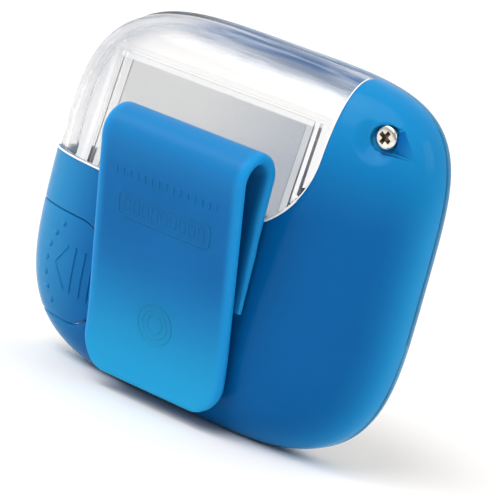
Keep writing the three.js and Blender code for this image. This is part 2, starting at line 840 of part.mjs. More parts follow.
const looks = {
  blue: { color: 0x1b78bd, roughness: 0.25, metalness: 0 },
  clear: { color: 0xe8eef2, roughness: 0.05, metalness: 0, transparent: true, opacity: 0.35 },
  glass: { color: 0xc9cdd2, roughness: 0.05, metalness: 0, transparent: true, opacity: 0.5 },
  nickel: { color: 0xcfcac0, roughness: 0.3, metalness: 1 },
  brass: { color: 0xb58e4a, roughness: 0.35, metalness: 1 },
  green: { color: 0x1f6b3f, roughness: 0.5, metalness: 0 },
  black: { color: 0x17181a, roughness: 0.6, metalness: 0 },
  white: { color: 0xe6e6e2, roughness: 0.5, metalness: 0 },
  grey: { color: 0x9fa3a6, roughness: 0.6, metalness: 0 },
};

const pedometer = new THREE.Group();

function addPiece(name, piece, look, parent = pedometer) {
  const mesh = new THREE.Mesh(geometryOf(piece), new THREE.MeshStandardMaterial(looks[look]));
  mesh.name = name;
  parent.add(mesh);
  return mesh;
}

addPiece("front_shell", frontShell(), "clear");
addPiece("rear_window", rearWindow(), "clear");
addPiece("rear_cover", rearCover(), "blue");
addPiece("battery_door", batteryDoor(), "blue");
addPiece("clip_root", clipRoot(), "blue");
addPiece("clip_leaf", clipLeaf(), "blue");
addPiece("fascia", fasciaPlate(), "blue");

const displayGroup = new THREE.Group();
displayGroup.position.set(display.centreX, display.rearY, display.topZ);
displayGroup.rotation.x = display.tilt;
pedometer.add(displayGroup);
for (const [name, piece] of Object.entries(displayPieces)) {
  const look = name.endsWith("polarizer") ? "grey" : "glass";
  addPiece(name, piece, name === "lcd_frame" ? "clear" : look, displayGroup);
}
addPiece("zebra_strip", zebraStrip(), "grey");

addPiece("circuit_board", circuitBoard(), "green");
addPiece("chip_blob", chipBlob(), "black");
addPiece("crystal_can", crystalCan(), "nickel");
addPiece("chip_capacitor", chipCapacitor(), "brass");
for (const place of boardScrews) {
  addPiece(place.name, boardFixing(place), "nickel");
}

addPiece("keypad", keypad(), "grey");
buttonPlaces().forEach((x, i) => addPiece(buttons.names[i], button(x), "white"));

addPiece("battery_tray", batteryTray(), "black");
addPiece("coin_cell", coinCell(), "nickel");
addPiece("battery_spring_contact", springContact(), "nickel");
addPiece("battery_side_contact", sideContact(), "nickel");

addPiece("pendulum_frame", pendulumFrame(), "white");
addPiece("pendulum_pin", pendulumPin(), "nickel");
addPiece("pendulum_arm", pendulumArm(), "brass");
addPiece("pendulum_weight", pendulumWeight(), "nickel");
addPiece("pendulum_spring", pendulumSpring(), "nickel");
addPiece("pendulum_stop", pendulumStop(), "grey");

addPiece("case_screw_horn", panScrew(hornScrew), "nickel");
addPiece("case_screw_clip", panScrew(clipScrew), "nickel");

export default pedometer;
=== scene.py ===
"""A clip-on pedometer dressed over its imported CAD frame.

Metres, the CAD row's frame: +Z up as worn, the flat front face in y = 0, the belt clip on the +Y side.
Shapes are worked out in millimetres and scaled once, when a mesh is made.
"""

import math

import bmesh
import bpy
import numpy as np
from mathutils import Matrix, Vector


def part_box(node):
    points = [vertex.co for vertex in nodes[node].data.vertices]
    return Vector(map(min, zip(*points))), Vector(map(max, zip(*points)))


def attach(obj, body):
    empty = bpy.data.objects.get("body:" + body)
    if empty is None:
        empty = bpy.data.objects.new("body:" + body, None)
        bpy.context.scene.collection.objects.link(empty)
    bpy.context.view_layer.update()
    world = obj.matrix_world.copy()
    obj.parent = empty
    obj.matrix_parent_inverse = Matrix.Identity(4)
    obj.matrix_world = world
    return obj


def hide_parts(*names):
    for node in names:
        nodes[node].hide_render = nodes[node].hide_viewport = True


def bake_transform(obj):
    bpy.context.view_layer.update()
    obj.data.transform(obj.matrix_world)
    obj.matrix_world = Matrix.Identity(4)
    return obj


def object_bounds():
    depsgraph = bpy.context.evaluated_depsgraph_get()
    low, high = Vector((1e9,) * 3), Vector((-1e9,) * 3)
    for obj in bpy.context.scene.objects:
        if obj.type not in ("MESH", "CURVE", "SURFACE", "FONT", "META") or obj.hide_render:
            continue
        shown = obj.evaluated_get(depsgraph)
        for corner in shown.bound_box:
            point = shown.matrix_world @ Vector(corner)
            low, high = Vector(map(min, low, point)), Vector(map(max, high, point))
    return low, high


MM = 0.001

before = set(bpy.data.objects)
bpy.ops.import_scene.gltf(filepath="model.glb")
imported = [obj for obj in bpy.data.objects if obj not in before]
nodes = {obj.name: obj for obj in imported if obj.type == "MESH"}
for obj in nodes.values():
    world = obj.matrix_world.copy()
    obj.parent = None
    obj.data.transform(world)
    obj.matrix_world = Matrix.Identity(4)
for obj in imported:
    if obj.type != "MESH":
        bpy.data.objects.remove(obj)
cad_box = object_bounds()

# ---- sizes shared with the CAD, in millimetres -----------------------------------------------------

GAP = 0.3  # clearance between the CAD's pieces
SEAM, DOOR_SEAM = 0.04, 0.12  # what the skins leave of it, at the parting line and round the door
WIDTH = 67.96  # this and TOP_HEIGHT keep the skins just inside the CAD's facets
TOP_HEIGHT, BOTTOM_HEIGHT = 28.77, 29.35
PARTING_Y = 6.0
REAR_RISE, FRONT_RISE = 11.0, 7.2
REAR_POWER, FRONT_POWER = 2.8, 2.5  # how square the crown is, seen from the side
BOTTOM_POWER, CLEAR_POWER, HORN_POWER = 3.6, 3.7, 4.4  # and the outline, seen from behind
STAND_Z = -28.55
FRONT_TURN, STAND_TURN = 0.8, 0.4  # how softly the form turns into its flat front and its flat foot
COVER_EDGE_Z, HORN_X, FILLET = 2.3, -17.7, 13.6  # the cover's upper edge, its horn and the round between
PROUD = 0.4  # the cover stands this much outside the window
COVER_WALL, WINDOW_WALL, DOOR_WALL, FRONT_WALL = 1.6, 1.2, 1.4, 1.6
DOOR_X, DOOR_TOP, DOOR_BOTTOM, DOOR_RADIUS, DOOR_Y = 14.0, -6.0, -22.7, 7.0, 7.6
HORN_SCREW = (-25.1, 11.4, 21.5)
CLIP_SCREW = (0.0, 12.6, -20.5)
POCKET = 1.98  # radius of the hole over each screw
BUTTON_X, BUTTON_Z, BUTTON_HOLE = (-10.5, 0.0, 10.5), -13.4, 3.4
CLIP_X, CLIP_HALF, CLIP_THICK = 0.7, 13.3, 1.75
ROOT_Y, ROOT_BOTTOM, ROOT_TAPER, ROOT_THIN = 17.6, -9.0, 6.0, 0.5
FOLD_Z, FOLD_R = 10.6, 4.3
FOLD_Y = ROOT_Y + FOLD_R
LEAF_TILT = math.radians(15.3)
LEAF_BOTTOM, FLARE_Z, FLARE = -26.2, -15.0, 1.1
TIP_RADIUS = 5.5

# ---- how finely the meshes are made ----------------------------------------------------------------

ON_LINE = 1e-4  # a corner this close to a cutting line lies on it
BISECTIONS = 12
EDGE_STEPS = (0.0, 0.12, 0.42, 1.0)  # where a rounded rim has its rows, as shares of its radius
SHORT_LOOP = 5  # an edge loop with no more corners than this isn't a rim
SAME_PLACE = 0.8  # a hole's rim is matched to its pocket within this distance
CREASE = 35.0


# ---- meshes ----------------------------------------------------------------------------------------

def smoothstep(t):
    """0 to 1 with a soft start and end."""
    t = np.clip(t, 0, 1)
    return t * t * (3 - 2 * t)


def make(name, points, faces, material, body=None, replaces=(), crease=CREASE):
    """A mesh object from points in millimetres, shaded smooth but for its creases."""
    bm = bmesh.new()
    verts = [bm.verts.new(Vector(p) * MM) for p in points]
    for face in faces:
        corners = [verts[i] for i in face]
        if len(set(face)) == len(face) and not bm.faces.get(corners):
            bm.faces.new(corners)
    bmesh.ops.remove_doubles(bm, verts=bm.verts, dist=1e-7)
    bmesh.ops.recalc_face_normals(bm, faces=bm.faces)
    return from_bmesh(name, bm, material, body, replaces, crease)


def from_bmesh(name, bm, material, body=None, replaces=(), crease=CREASE):
    """An object from a bmesh in metres, with its material and body; it hides the parts that it replaces."""
    mesh = bpy.data.meshes.new(name)
    bm.to_mesh(mesh)
    bm.free()
    for polygon in mesh.polygons:
        polygon.use_smooth = True
    mesh.set_sharp_from_angle(angle=math.radians(crease))
    mesh.materials.append(material)
    obj = bpy.data.objects.new(name, mesh)
    bpy.context.scene.collection.objects.link(obj)
    if body:
        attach(obj, body)
    if replaces:
        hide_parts(*replaces)
    return obj


def soft_floor(value, low, reach):
    """value, but never below low, with a rounded turn between the two."""
    t = np.clip((value - low + reach) / (2 * reach), 0, 1)
    return np.where(value > low + reach, value, low + reach * t * t)


def on_pillow(direction, inset):
    """Points of the body's outer form, moved inwards by inset, seen from the middle along direction."""
    x, y, z = direction.T
    plan = np.maximum(np.hypot(x, z), 1e-9)
    power = np.where(z <= 0, BOTTOM_POWER, np.where(x > 0, CLEAR_POWER, HORN_POWER))
    half_x = WIDTH / 2 - inset
    half_z = np.where(z > 0, TOP_HEIGHT, BOTTOM_HEIGHT) - inset
    reach = (np.abs(x) / plan / half_x) ** power + (np.abs(z) / plan / half_z) ** power
    outline = reach ** (-1 / power)
    crown = np.where(y > 0, REAR_POWER, FRONT_POWER)
    scale = (plan ** crown + np.abs(y) ** crown) ** (-1 / crown)
    rise = np.where(y > 0, REAR_RISE, FRONT_RISE) - inset
    px = scale * outline * x
    pz = scale * outline * z
    py = PARTING_Y + rise * y * scale
    return np.stack([px, soft_floor(py, inset, FRONT_TURN), soft_floor(pz, STAND_Z + inset, STAND_TURN)], 1)


def crown_y(x, z, inset=0.0):
    """Height of the rear crown over a point of the plan."""
    power = np.where(z <= 0, BOTTOM_POWER, np.where(x > 0, CLEAR_POWER, HORN_POWER))
    half_z = np.where(z > 0, TOP_HEIGHT, BOTTOM_HEIGHT)
    reach = (np.abs(x) / (WIDTH / 2 - inset)) ** power + (np.abs(z) / (half_z - inset)) ** power
    left = np.maximum(1 - reach ** (REAR_POWER / power), 0)
    return PARTING_Y + (REAR_RISE - inset) * left ** (1 / REAR_POWER)


def crown_normal(x, z):
    """The rear crown's outward direction over a point of the plan."""
    step = 0.05
    dx = (crown_y(x + step, z) - crown_y(x - step, z)) / (2 * step)
    dz = (crown_y(x, z + step) - crown_y(x, z - step)) / (2 * step)
    return Vector((-float(dx), 1.0, -float(dz))).normalized()


def on_crown(x, z, lift):
    """A point of the rear crown, raised by lift."""
    y = float(crown_y(np.array(x), np.array(z)))
    return Vector((x, y, z)) + crown_normal(x, z) * lift


def sphere_grid(cuts, side):
    """Directions on the half of a sphere that faces side, as an even grid of squares."""
    bm = bmesh.new()
    bmesh.ops.create_cube(bm, size=2.0)
    bmesh.ops.subdivide_edges(bm, edges=bm.edges, cuts=cuts, use_grid_fill=True)
    for v in bm.verts:
        v.co = Vector(math.tan(c * math.pi / 4) for c in v.co).normalized()
    far = [f for f in bm.faces if f.calc_center_median().y * side < -0.25]
    bmesh.ops.delete(bm, geom=far, context="FACES")
    return bm


def split_at(bm, field, level):
    """Cuts the faces along the line where field equals level."""
    bm.verts.index_update()
    where = np.array([v.co for v in bm.verts])
    value = field(where) - level
    value[np.abs(value) < ON_LINE] = 0
    zero = {v for v, f in zip(bm.verts, value) if f == 0}
    crossing = [e for e in bm.edges if value[e.verts[0].index] * value[e.verts[1].index] < 0]
    if not crossing:
        return
    a = where[[e.verts[0].index for e in crossing]]
    b = where[[e.verts[1].index for e in crossing]]
    fa = value[[e.verts[0].index for e in crossing]]
    low, high = np.zeros(len(a)), np.ones(len(a))
    for _ in range(BISECTIONS):
        mid = (low + high) / 2
        point = a + (b - a) * mid[:, None]
        point /= np.linalg.norm(point, axis=1)[:, None]
        same = (field(point) - level) * fa > 0
        low, high = np.where(same, mid, low), np.where(same, high, mid)
    fresh = []
    for edge, share, place in zip(crossing, (low + high) / 2, point):
        _, vert = bmesh.utils.edge_split(edge, edge.verts[0], float(share))
        vert.co = Vector(place)
        zero.add(vert)
        fresh.append(vert)
    for face in {f for v in fresh for f in v.link_faces}:
        ends = [v for v in face.verts if v in zero]
        if len(ends) == 2 and not any(ends[1] in e.verts for e in ends[0].link_edges):
            bmesh.utils.face_split(face, ends[0], ends[1])


def patch(side, inset, field, levels, cuts, creases=()):
    """The part of the pillow where field is positive: directions, field values and faces.

    creases are (field, level) lines that the mesh is also cut along."""
    def on_surface(direction):
        return field(on_pillow(direction, inset))

    bm = sphere_grid(cuts, side)
    for level in levels:
        split_at(bm, on_surface, level)
    for crease, level in creases:
        split_at(bm, lambda d: crease(on_pillow(d, inset)), level)
    centres = np.array([f.calc_center_median().normalized() for f in bm.faces])
    outside = [f for f, v in zip(bm.faces, on_surface(centres)) if v < 0]
    bmesh.ops.delete(bm, geom=outside, context="FACES")
    bm.verts.index_update()
    direction = np.array([v.co.normalized() for v in bm.verts])
    faces = [[v.index for v in f.verts] for f in bm.faces]
    bm.free()
    return direction, on_surface(direction), faces


def rims(faces):
    """The closed edge loops of an open mesh."""
    follow = {}
    seen = {pair for face in faces for pair in zip(face, face[1:] + face[:1])}
    for a, b in seen:
        if (b, a) not in seen:
            follow.setdefault(a, []).append(b)
    loops = []
    while follow:
        start = next(iter(follow))
        loop = [start]
        while loop[-1] in follow:
            here = loop[-1]
            step = follow[here].pop()
            if not follow[here]:
                del follow[here]
            if step == start:
                break
            loop.append(step)
        if len(loop) > SHORT_LOOP:
            loops.append(loop)
    return loops


def zip_loops(points, first, second):
    """Triangles between two loops that run side by side."""
    p = np.asarray(points)
    a, b = list(first), list(second)
    near = np.linalg.norm(p[b] - p[a[0]], axis=1).argmin()
    b = b[near:] + b[:near]
    quarter = len(a) // 4
    ahead = np.linalg.norm(p[b[len(b) // 4]] - p[a[quarter]])
    behind = np.linalg.norm(p[b[-(len(b) // 4)]] - p[a[quarter]])
    if behind < ahead:
        b = [b[0]] + b[:0:-1]
    a, b = a + a[:1], b + b[:1]
    i = j = 0
    triangles = []
    while i < len(a) - 1 or j < len(b) - 1:
        to_a = np.linalg.norm(p[a[i + 1]] - p[b[j]]) if i < len(a) - 1 else 1e9
        to_b = np.linalg.norm(p[a[i]] - p[b[j + 1]]) if j < len(b) - 1 else 1e9
        if to_a < to_b:
            triangles.append([a[i], a[i + 1], b[j]])
            i += 1
        else:
            triangles.append([a[i], b[j + 1], b[j]])
            j += 1
    return triangles


def pocket_walls(points, loop, y):
    """A straight wall from a hole's rim to a floor at height y: all points, and the new faces."""
    floor = points[loop].copy()
    floor[:, 1] = y
    count = len(loop)
    ring = list(range(len(points), len(points) + count))
    walls = [[loop[k - 1], loop[k], ring[k], ring[k - 1]] for k in range(count)]
    return np.concatenate([points, floor]), walls + [ring]


def shell(side, inset, wall, field, edge, cuts, shape=None, pockets=(), creases=()):
    """A moulded shell: the outer skin with rounded rims, the inner skin, and the walls between them.

    pockets are (x, z, y): round holes of the outer skin that end in a floor at y."""
    def outer_field(p):
        d = field(p)
        for x, z, _ in pockets:
            d = np.minimum(d, np.hypot(p[:, 0] - x, p[:, 2] - z) - POCKET)
        return d

    levels = [share * edge for share in EDGE_STEPS]
    direction, depth, faces = patch(side, inset, outer_field, levels, cuts, creases)
    left = edge - np.clip(depth, 0, edge)
    outer = on_pillow(direction, inset + edge - np.sqrt(edge ** 2 - left ** 2))
    if shape:
        outer = shape(outer)
    in_direction, _, in_faces = patch(side, inset + wall, field, [0.0], cuts // 2)
    points = np.concatenate([outer, on_pillow(in_direction, inset + wall)])
    in_faces = [[i + len(outer) for i in face] for face in in_faces]
    in_rims = rims(in_faces)
    open_rims, joining = [], []
    for loop in rims(faces):
        centre = outer[loop].mean(0)
        floors = [y for x, z, y in pockets if math.hypot(centre[0] - x, centre[2] - z) < SAME_PLACE]
        if floors:
            points, walls = pocket_walls(points, loop, floors[0])
            joining += walls
        else:
            open_rims.append(loop)
    for loop in open_rims:
        centre = points[loop].mean(0)

        def unlike(rim):
            return np.linalg.norm(points[rim].mean(0) - centre) + abs(len(rim) * 2 - len(loop)) * 0.01

        joining += zip_loops(points, loop, min(in_rims, key=unlike))
    return points, faces + in_faces + joining


def clear_distance(p, growth=0.0):
    """Signed distance into the clear part of the plan: above the cover's edge and beside its horn."""
    right = HORN_X + FILLET - p[:, 0]
    up = COVER_EDGE_Z + FILLET - p[:, 2]
    corner = np.hypot(np.maximum(right, 0), np.maximum(up, 0))
    return FILLET - growth - corner - np.minimum(np.maximum(right, up), 0)


def door_distance(p, growth=0.0):
    """Signed distance into the battery door."""
    x = DOOR_X - growth + DOOR_RADIUS - p[:, 0]
    middle = (DOOR_TOP + DOOR_BOTTOM) / 2
    half = (DOOR_TOP - DOOR_BOTTOM) / 2 + growth
    z = np.abs(p[:, 2] - middle) - half + DOOR_RADIUS
    corner = np.hypot(np.maximum(x, 0), np.maximum(z, 0))
    plan = DOOR_RADIUS - corner - np.minimum(np.maximum(x, z), 0)
    return np.minimum(plan, p[:, 1] - DOOR_Y + growth)


# ---- materials -------------------------------------------------------------------------------------

NOISE_LOW, NOISE_HIGH = 0.3, 0.7  # nearly all of a noise texture's values lie between these
GRAIN_DEPTH = 0.00002  # metres


def noise(tree, scale, detail=3.0):
    """A noise texture's value, scale cells to the metre."""
    place = tree.nodes.new("ShaderNodeTexCoord")
    node = tree.nodes.new("ShaderNodeTexNoise")
    node.inputs["Scale"].default_value = scale
    node.inputs["Detail"].default_value = detail
    tree.links.new(place.outputs["Object"], node.inputs["Vector"])
    return node.outputs["Fac"]


def map_range(tree, value, start, end, low=0.0, high=1.0, smooth=False):
    """A number that runs from low to high while value runs from start to end."""
    node = tree.nodes.new("ShaderNodeMapRange")
    if smooth:
        node.interpolation_type = "SMOOTHSTEP"
    for key, number in (("From Min", start), ("From Max", end), ("To Min", low), ("To Max", high)):
        node.inputs[key].default_value = number
    tree.links.new(value, node.inputs["Value"])
    return node.outputs[0]


def spread(tree, value, low, high):
    """Noise, spread out over the whole way from low to high."""
    return map_range(tree, value, NOISE_LOW, NOISE_HIGH, low, high)


def mix(tree, share, first, second):
    """A colour on the way from first to second. Each is a colour, or the output of a node."""
    node = tree.nodes.new("ShaderNodeMix")
    node.data_type = "RGBA"
    for key, colour in (("A", first), ("B", second)):
        if isinstance(colour, tuple):
            node.inputs[key].default_value = (*colour, 1)
        else:
            tree.links.new(colour, node.inputs[key])
    tree.links.new(share, node.inputs["Factor"])
    return node.outputs["Result"]


def progress(tree, axis, start, end, low=0.0, high=1.0):
    """A number that runs softly from low to high between two places on an axis, in millimetres."""
    place = tree.nodes.new("ShaderNodeTexCoord")
    parts = tree.nodes.new("ShaderNodeSeparateXYZ")
    tree.links.new(place.outputs["Object"], parts.inputs[0])
    return map_range(tree, parts.outputs[axis], start * MM, end * MM, low, high, smooth=True)


def bump(tree, shader, value, strength):
    node = tree.nodes.new("ShaderNodeBump")
    node.inputs["Strength"].default_value = strength
    node.inputs["Distance"].default_value = GRAIN_DEPTH
    tree.links.new(value, node.inputs["Height"])
    tree.links.new(node.outputs[0], shader.inputs["Normal"])


def surface(
    name, first, second, rough, metallic=0.0, patches=120, grain=2500, lift=0.1, fades=(), **settings
):
    """A moulded or machined surface: slow colour change, uneven gloss and a fine grain.

    fades are (axis, start, end, colour): between two places on an axis, the colour turns towards colour.
    On the blue plastic they are painted light and shade: lighter where light comes through a thin wall and
    where the lamps fall, darker by the screw pocket in the fan's hollow."""
    material = bpy.data.materials.new(name)
    material.use_nodes = True
    tree = material.node_tree
    shader = tree.nodes["Principled BSDF"]
    colour = mix(tree, spread(tree, noise(tree, patches), 0, 1), first, second)
    for axis, start, end, far in fades:
        colour = mix(tree, progress(tree, axis, start, end), colour, far)
    tree.links.new(colour, shader.inputs["Base Color"])
    tree.links.new(spread(tree, noise(tree, patches * 3, 5), *rough), shader.inputs["Roughness"])
    shader.inputs["Metallic"].default_value = metallic
    bump(tree, shader, noise(tree, grain, 2), lift)
    for key, value in settings.items():
        shader.inputs[key.replace("_", " ")].default_value = value
    return material


BLUE_SCATTER = (0.15, 0.6, 1.0)
COVER_PAINTED_LIGHT = [
    ("Y", 13.8, 7.3, (0.010, 0.245, 0.53)),  # painted light: lighter towards the parting line
    ("X", 14, 31, (0.018, 0.215, 0.45)),  # painted light: lighter on the door's side, facing the key light
    ("Z", 6, 24, (0.009, 0.21, 0.47)),  # painted light: lighter up the horn, facing the top light
]
CLIP_PAINTED_LIGHT = [
    ("Z", -3, -27, (0.014, 0.31, 0.58)),  # painted light: lighter down to the tip, lit from the floor below
    ("Z", 4, 15, (0.012, 0.185, 0.44)),  # painted light: lighter up to the fold, facing the top light
    ("X", 11.8, 14.1, (0.012, 0.25, 0.56)),  # painted light: lighter at the leaf's two side edges
    ("X", -10.6, -12.7, (0.010, 0.27, 0.60)),
]
# painted shade: the fan's sheet turns lighter from the screw pocket towards its far edge
FAN_PAINTED_SHADE = [("X", -26.5, -30.5, (0.008, 0.19, 0.45))]
FILM_FADES = [("X", 12, -18, (0.77, 0.80, 0.85))]

blue_gloss = surface(
    "blue_gloss", (0.001, 0.094, 0.295), (0.001, 0.104, 0.32), (0.10, 0.16), patches=60, grain=900,
    lift=0.04,
    fades=COVER_PAINTED_LIGHT, Specular_IOR_Level=0.06,
    Subsurface_Weight=0.25, Subsurface_Scale=0.0016, Subsurface_Radius=BLUE_SCATTER,
)
blue_satin = surface(
    "blue_satin", (0.002, 0.112, 0.33), (0.003, 0.125, 0.36), (0.30, 0.38), patches=80, grain=3000, lift=0.10,
    fades=CLIP_PAINTED_LIGHT, Specular_IOR_Level=0.08,
    Subsurface_Weight=0.35, Subsurface_Scale=0.0022, Subsurface_Radius=BLUE_SCATTER,
)
# painted shade: a dark blue for the beads along the fan's lower wall
blue_crease_shade = surface(
    "blue_crease_shade", (0.001, 0.05, 0.17), (0.001, 0.06, 0.20), (0.5, 0.6), patches=200, grain=900,
    Specular_IOR_Level=0.1,
)
# painted shade: a darker blue for the sheet over the fan's floor
blue_fan_shade = surface(
    "blue_fan_shade", (0.001, 0.085, 0.30), (0.001, 0.09, 0.32), (0.15, 0.2), patches=60, grain=900,
    lift=0.04, fades=FAN_PAINTED_SHADE, Specular_IOR_Level=0.06,
)
inner_clear = surface(
    "clear_inner_plastic", (0.93, 0.94, 0.96), (0.95, 0.96, 0.97), (0.0, 0.03), patches=40, grain=60,
    lift=0.03, Transmission_Weight=1.0, IOR=1.12,
)

STREAK_FADE, STREAK_LEFT = (5, 19), 0.22  # between these places on X, the streaks fade to this share
STREAK_CELLS = (55, 620, 420)  # cells to the metre along X, Y and Z, so that the streaks run along X
STREAK_DARK, STREAK_LIGHT = 0.44, 0.68  # noise values at which a streak is darkest and lightest
TAIL_FADE = (-12, -30)
MILKY = 0.45  # transmission of the rim


def clear_shell(name, inner, rim, ior, dark, light, tail):
    """Clear plastic, milky near the parting line, with painted refraction where it is seen edge on there.

    The look sets in between the heights inner and rim. The painted streaks are the blue fascia's
    colour as seen through the rim, so they fade out beyond the fascia's end, towards +X. Beside the
    cover's horn, at -X, the rim takes the tail colour, a painted refraction of the cover behind it."""
    material = surface(
        name, (0.945, 0.945, 0.95), (0.955, 0.955, 0.96), (0.0, 0.04), patches=40, grain=60, lift=0.03,
        Transmission_Weight=1.0, IOR=ior,
    )
    tree = material.node_tree
    shader = tree.nodes["Principled BSDF"]
    amount = tree.nodes.new("ShaderNodeMath")
    amount.operation = "MULTIPLY"
    tree.links.new(progress(tree, "Y", inner, rim), amount.inputs[0])
    tree.links.new(progress(tree, "X", *STREAK_FADE, 1.0, STREAK_LEFT), amount.inputs[1])
    # painted refraction: streaks in the fascia's blue along the rim
    place = tree.nodes.new("ShaderNodeTexCoord")
    stretch = tree.nodes.new("ShaderNodeMapping")
    stretch.inputs["Scale"].default_value = STREAK_CELLS
    tree.links.new(place.outputs["Object"], stretch.inputs["Vector"])
    streak = tree.nodes.new("ShaderNodeTexNoise")
    streak.inputs["Scale"].default_value = 1.0
    streak.inputs["Detail"].default_value = 4.0
    streak.inputs["Distortion"].default_value = 0.6
    tree.links.new(stretch.outputs[0], streak.inputs["Vector"])
    colours = tree.nodes.new("ShaderNodeValToRGB")
    stops = colours.color_ramp.elements
    stops[0].position, stops[0].color = STREAK_DARK, (*dark, 1)
    stops[1].position, stops[1].color = STREAK_LIGHT, (*light, 1)
    tree.links.new(streak.outputs["Fac"], colours.inputs["Fac"])
    painted_rim_refraction = mix(tree, progress(tree, "X", *TAIL_FADE), colours.outputs["Color"], tail)
    plain = shader.inputs["Base Color"].links[0].from_socket
    tree.links.new(mix(tree, amount.outputs[0], plain, painted_rim_refraction), shader.inputs["Base Color"])
    tree.links.new(map_range(tree, amount.outputs[0], 0, 1, 1.0, MILKY), shader.inputs["Transmission Weight"])
    return material


# painted refraction: the rim colours of the two clear shells
window_clear = clear_shell(
    "window_plastic", inner=13.0, rim=10.3, ior=1.36,
    dark=(0.045, 0.14, 0.32), light=(0.66, 0.71, 0.80), tail=(0.3, 0.5, 0.75),
)
front_clear = clear_shell(
    "front_plastic", inner=2.0, rim=4.6, ior=1.3,
    dark=(0.42, 0.53, 0.69), light=(0.72, 0.78, 0.87), tail=(0.03, 0.31, 0.61),
)
# painted highlight: a near-white for the beads that stand in for the light along the window's edge
seam_highlight = surface(
    "seam_highlight", (0.90, 0.91, 0.92), (0.95, 0.95, 0.96), (0.1, 0.2), patches=200, grain=900, lift=0.03,
)
glass = surface(
    "display_glass", (0.96, 0.975, 0.98), (0.98, 0.985, 0.99), (0.0, 0.02), grain=60, lift=0.01,
    Transmission_Weight=1.0, IOR=1.3,
)
film = surface(
    "polarizer", (0.96, 0.96, 0.963), (0.975, 0.975, 0.978), (0.14, 0.18), patches=30, grain=300, lift=0.004,
    fades=FILM_FADES, Transmission_Weight=0.92, IOR=1.2,
)
nickel = surface("nickel", (0.62, 0.58, 0.52), (0.80, 0.77, 0.72), (0.12, 0.28), 1.0, patches=900, grain=4000)
# painted shade: the dark colour of the screws' cross recesses
recess = surface("screw_recess_shade", (0.10, 0.075, 0.05), (0.22, 0.18, 0.13), (0.3, 0.5), 0.7, patches=1500)
steel = surface(
    "cell_steel", (0.60, 0.60, 0.59), (0.72, 0.72, 0.71), (0.22, 0.34), 1.0, patches=300, grain=5000,
)
brass = surface("brass", (0.58, 0.40, 0.16), (0.70, 0.50, 0.22), (0.25, 0.4), 1.0, patches=500)
white = surface("white_acetal", (0.70, 0.70, 0.68), (0.78, 0.78, 0.76), (0.35, 0.5), patches=200)
cap = surface("button_caps", (0.62, 0.64, 0.66), (0.70, 0.72, 0.74), (0.2, 0.3), patches=200)
black = surface("black_plastic", (0.012, 0.012, 0.013), (0.03, 0.03, 0.03), (0.4, 0.55), patches=300)
epoxy = surface("black_epoxy", (0.008, 0.008, 0.008), (0.015, 0.015, 0.015), (0.1, 0.25), patches=300)
rubber = surface("grey_rubber", (0.20, 0.205, 0.21), (0.28, 0.285, 0.29), (0.6, 0.75), patches=400)
felt = surface(
    "soft_pad", (0.05, 0.05, 0.05), (0.09, 0.09, 0.09), (0.85, 0.95), patches=900, grain=6000, lift=0.6,
)
ceramic = surface("ceramic", (0.38, 0.26, 0.15), (0.48, 0.34, 0.2), (0.45, 0.6), patches=800)
mask = surface("board_mask", (0.01, 0.12, 0.04), (0.02, 0.17, 0.06), (0.25, 0.4), patches=700)

INSIDE = {
    "fascia": blue_gloss, "zebra_strip": rubber, "circuit_board": mask, "chip_blob": epoxy,
    "crystal_can": nickel, "chip_capacitor": ceramic, "board_screw_left": nickel,
    "board_screw_right": nickel, "keypad": rubber, "battery_tray": black, "coin_cell": steel,
    "battery_spring_contact": nickel, "battery_side_contact": nickel,
    "pendulum_frame": white, "pendulum_pin": nickel, "pendulum_arm": brass, "pendulum_weight": steel,
    "pendulum_spring": nickel, "pendulum_stop": felt, "lcd_frame": inner_clear, "lcd_rear_glass": glass,
    "lcd_front_glass": glass, "rear_polarizer": film, "front_polarizer": film,
}
for name, material in INSIDE.items():
    nodes[name].data.materials.clear()
    nodes[name].data.materials.append(material)

# ---- case shells -----------------------------------------------------------------------------------

FAN = [(-24.9, 19.35), (-30.6, 19.4), (-27.3, 23.4), (-25.1, 23.5)]  # (x, z): near, far, far, near
FAN_FAR = [np.array(corner) for corner in FAN[1:3]]
FAN_DEPTH, FAN_WALL, FAN_DEEPEST = 1.5, 0.3, 1.2  # the floor's slope stops at this share of the depth
DISH, DISH_Y, DISH_SHARE = 4.2, 13.0, 0.85  # the shallow dish round the horn screw
PAD_INSET, PAD_BELOW = 1.3, 1.2  # the raised pad that the clip's root stands on, against the root
PAD_SLOPE, PAD_START = 0.9, 0.3


def across(first, second):
    """The direction square to the line between two points of the plan, to its left."""
    ahead = (second - first) / np.linalg.norm(second - first)
    return np.array((ahead[1], -ahead[0]))


def fan_distance(p):
    """Signed distance into the fan-shaped hollow that runs out from the horn screw."""
    corners = [np.array(corner) for corner in FAN]
    sides = zip(corners, corners[1:] + corners[:1])
    return np.min([(p[:, [0, 2]] - a) @ across(a, b) for a, b in sides], axis=0)


def cover_field(p):
    d = np.minimum(-clear_distance(p), p[:, 1] - PARTING_Y - SEAM)
    return np.minimum(d, -door_distance(p))


def window_field(p):
    return np.minimum(clear_distance(p, SEAM), p[:, 1] - PARTING_Y - SEAM)


def door_field(p):
    return door_distance(p, -DOOR_SEAM)


def front_field(p):
    d = PARTING_Y - SEAM - p[:, 1]
    for x in BUTTON_X:
        d = np.minimum(d, np.hypot(p[:, 0] - x, p[:, 2] - BUTTON_Z) - BUTTON_HOLE)
    return d


